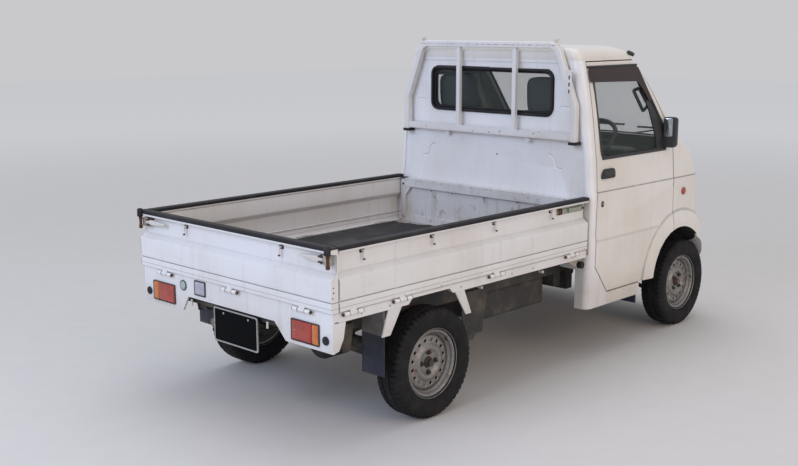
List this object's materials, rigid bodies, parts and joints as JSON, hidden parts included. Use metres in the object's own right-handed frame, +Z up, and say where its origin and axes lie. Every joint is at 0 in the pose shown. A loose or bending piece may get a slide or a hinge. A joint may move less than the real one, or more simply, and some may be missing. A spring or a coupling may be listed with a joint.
{
  "type": "light flat-bed truck",
  "caption": "Small cab-over flat-bed truck with drop-down side and tail gates, a guard frame behind the cab, opening doors and steered front wheels.",
  "frame": {"origin": "on the ground under the middle of the truck's bounding box", "axes": "+Z up, the truck faces -Y, its left side is +X"},
  "size_m": [1.572, 3.395, 1.812],
  "materials": {
    "cab_paint": "gloss, weathered",
    "bed_paint": "satin, scratched",
    "frame_paint": "satin, dusty",
    "glass": "clear",
    "black_rubber": "matte",
    "lamp_plastic": "gloss",
    "black_plastic": "matte",
    "seat_cloth": "woven",
    "plate_paint": "satin",
    "galvanised": "dull",
    "castings": "dull",
    "exhaust_steel": "rusty",
    "tyre_rubber": "matte",
    "wheel_paint": "satin, rusty"
  },
  "bodies": {
    "chassis": {"ladder_frame": "frame_paint", "frame_members": "frame_paint", "cab_front_panel": "cab_paint", "cab_roof": "cab_paint", "cab_rear_wall": "cab_paint", "cab_floor": "cab_paint", "seat_box": "cab_paint", "windshield": "glass", "rear_window": "glass", "rear_window_seal": "black_rubber", "front_bumper": "cab_paint", "front_lamps": "lamp_plastic", "dashboard": "black_plastic", "seats": "seat_cloth", "wipers": "black_plastic", "bed_deck": "bed_paint", "bed_mat": "black_rubber", "bed_front_wall": "bed_paint", "rear_panel": "bed_paint", "rear_lamps": "lamp_plastic", "licence_plate": "plate_paint", "guard_frame": "bed_paint", "engine": "castings", "exhaust": "exhaust_steel", "fuel_tank": "frame_paint", "rear_axle": "frame_paint", "leaf_springs": "frame_paint", "front_suspension": "frame_paint", "mud_flaps": "black_rubber", "bump_stops": "black_rubber", "hinge_brackets": "galvanised", "antenna_base": "black_plastic"},
    "door_l": {"door_l": "cab_paint", "door_glass_l": "glass", "door_fittings_l": "black_plastic"},
    "door_r": {"door_r": "cab_paint", "door_glass_r": "glass", "door_fittings_r": "black_plastic"},
    "gate_l": {"gate_l": "bed_paint", "gate_guard_l": "black_rubber", "gate_latch_l": "galvanised"},
    "gate_r": {"gate_r": "bed_paint", "gate_guard_r": "black_rubber", "gate_latch_r": "galvanised"},
    "tailgate": {"tailgate": "bed_paint", "gate_guard_tail": "black_rubber", "tail_latches": "galvanised"},
    "steering_wheel": {"steering_wheel": "black_plastic"},
    "knuckle_l": {"knuckle_l": "frame_paint"},
    "knuckle_r": {"knuckle_r": "frame_paint"},
    "wheel_fl": {"tyre_fl": "tyre_rubber", "rim_fl": "wheel_paint"},
    "wheel_fr": {"tyre_fr": "tyre_rubber", "rim_fr": "wheel_paint"},
    "wheel_rl": {"tyre_rl": "tyre_rubber", "rim_rl": "wheel_paint"},
    "wheel_rr": {"tyre_rr": "tyre_rubber", "rim_rr": "wheel_paint"}
  },
  "joints": [
    {"name": "steering", "type": "hinge", "parent": "chassis", "child": "steering_wheel", "pos_m": [-0.34, -0.795, 1.2], "axis": [0, 0.6157, 0.788], "range_deg": [-560, 560]},
    {"name": "steer_l", "type": "hinge", "parent": "chassis", "child": "knuckle_l", "pos_m": [0.6, -1.347, 0.175], "axis": [-0.1219, 0, 0.9925], "range_deg": [-35, 35]},
    {"name": "wheel_fl_turn", "type": "hinge", "parent": "knuckle_l", "child": "wheel_fl", "pos_m": [0.64, -1.347, 0.274], "axis": [1, 0, 0], "continuous": true},
    {"name": "wheel_rl_turn", "type": "hinge", "parent": "chassis", "child": "wheel_rl", "pos_m": [0.645, 1.003, 0.274], "axis": [1, 0, 0], "continuous": true},
    {"name": "door_l_swing", "type": "hinge", "parent": "chassis", "child": "door_l", "pos_m": [0.747, -1.1515, 0.9], "axis": [0, 0, -1], "range_deg": [0, 68]},
    {"name": "gate_l_drop", "type": "hinge", "parent": "chassis", "child": "gate_l", "pos_m": [0.7295, 0.69, 0.641], "axis": [0, 1, 0], "range_deg": [0, 175]},
    {"name": "steer_r", "type": "hinge", "parent": "chassis", "child": "knuckle_r", "pos_m": [-0.6, -1.347, 0.175], "axis": [0.1219, 0, 0.9925], "range_deg": [-35, 35]},
    {"name": "wheel_fr_turn", "type": "hinge", "parent": "knuckle_r", "child": "wheel_fr", "pos_m": [-0.64, -1.347, 0.274], "axis": [1, 0, 0], "continuous": true},
    {"name": "wheel_rr_turn", "type": "hinge", "parent": "chassis", "child": "wheel_rr", "pos_m": [-0.645, 1.003, 0.274], "axis": [1, 0, 0], "continuous": true},
    {"name": "door_r_swing", "type": "hinge", "parent": "chassis", "child": "door_r", "pos_m": [-0.747, -1.1515, 0.9], "axis": [0, 0, 1], "range_deg": [0, 68]},
    {"name": "gate_r_drop", "type": "hinge", "parent": "chassis", "child": "gate_r", "pos_m": [-0.7295, 0.69, 0.641], "axis": [0, -1, 0], "range_deg": [0, 175]},
    {"name": "tailgate_drop", "type": "hinge", "parent": "chassis", "child": "tailgate", "pos_m": [0, 1.69, 0.641], "axis": [-1, 0, 0], "range_deg": [0, 175]}
  ],
  "couplings": [
    {"joint": "steer_l", "follows": "steering", "ratio": 0.0625},
    {"joint": "steer_r", "follows": "steering", "ratio": 0.0625}
  ]
}
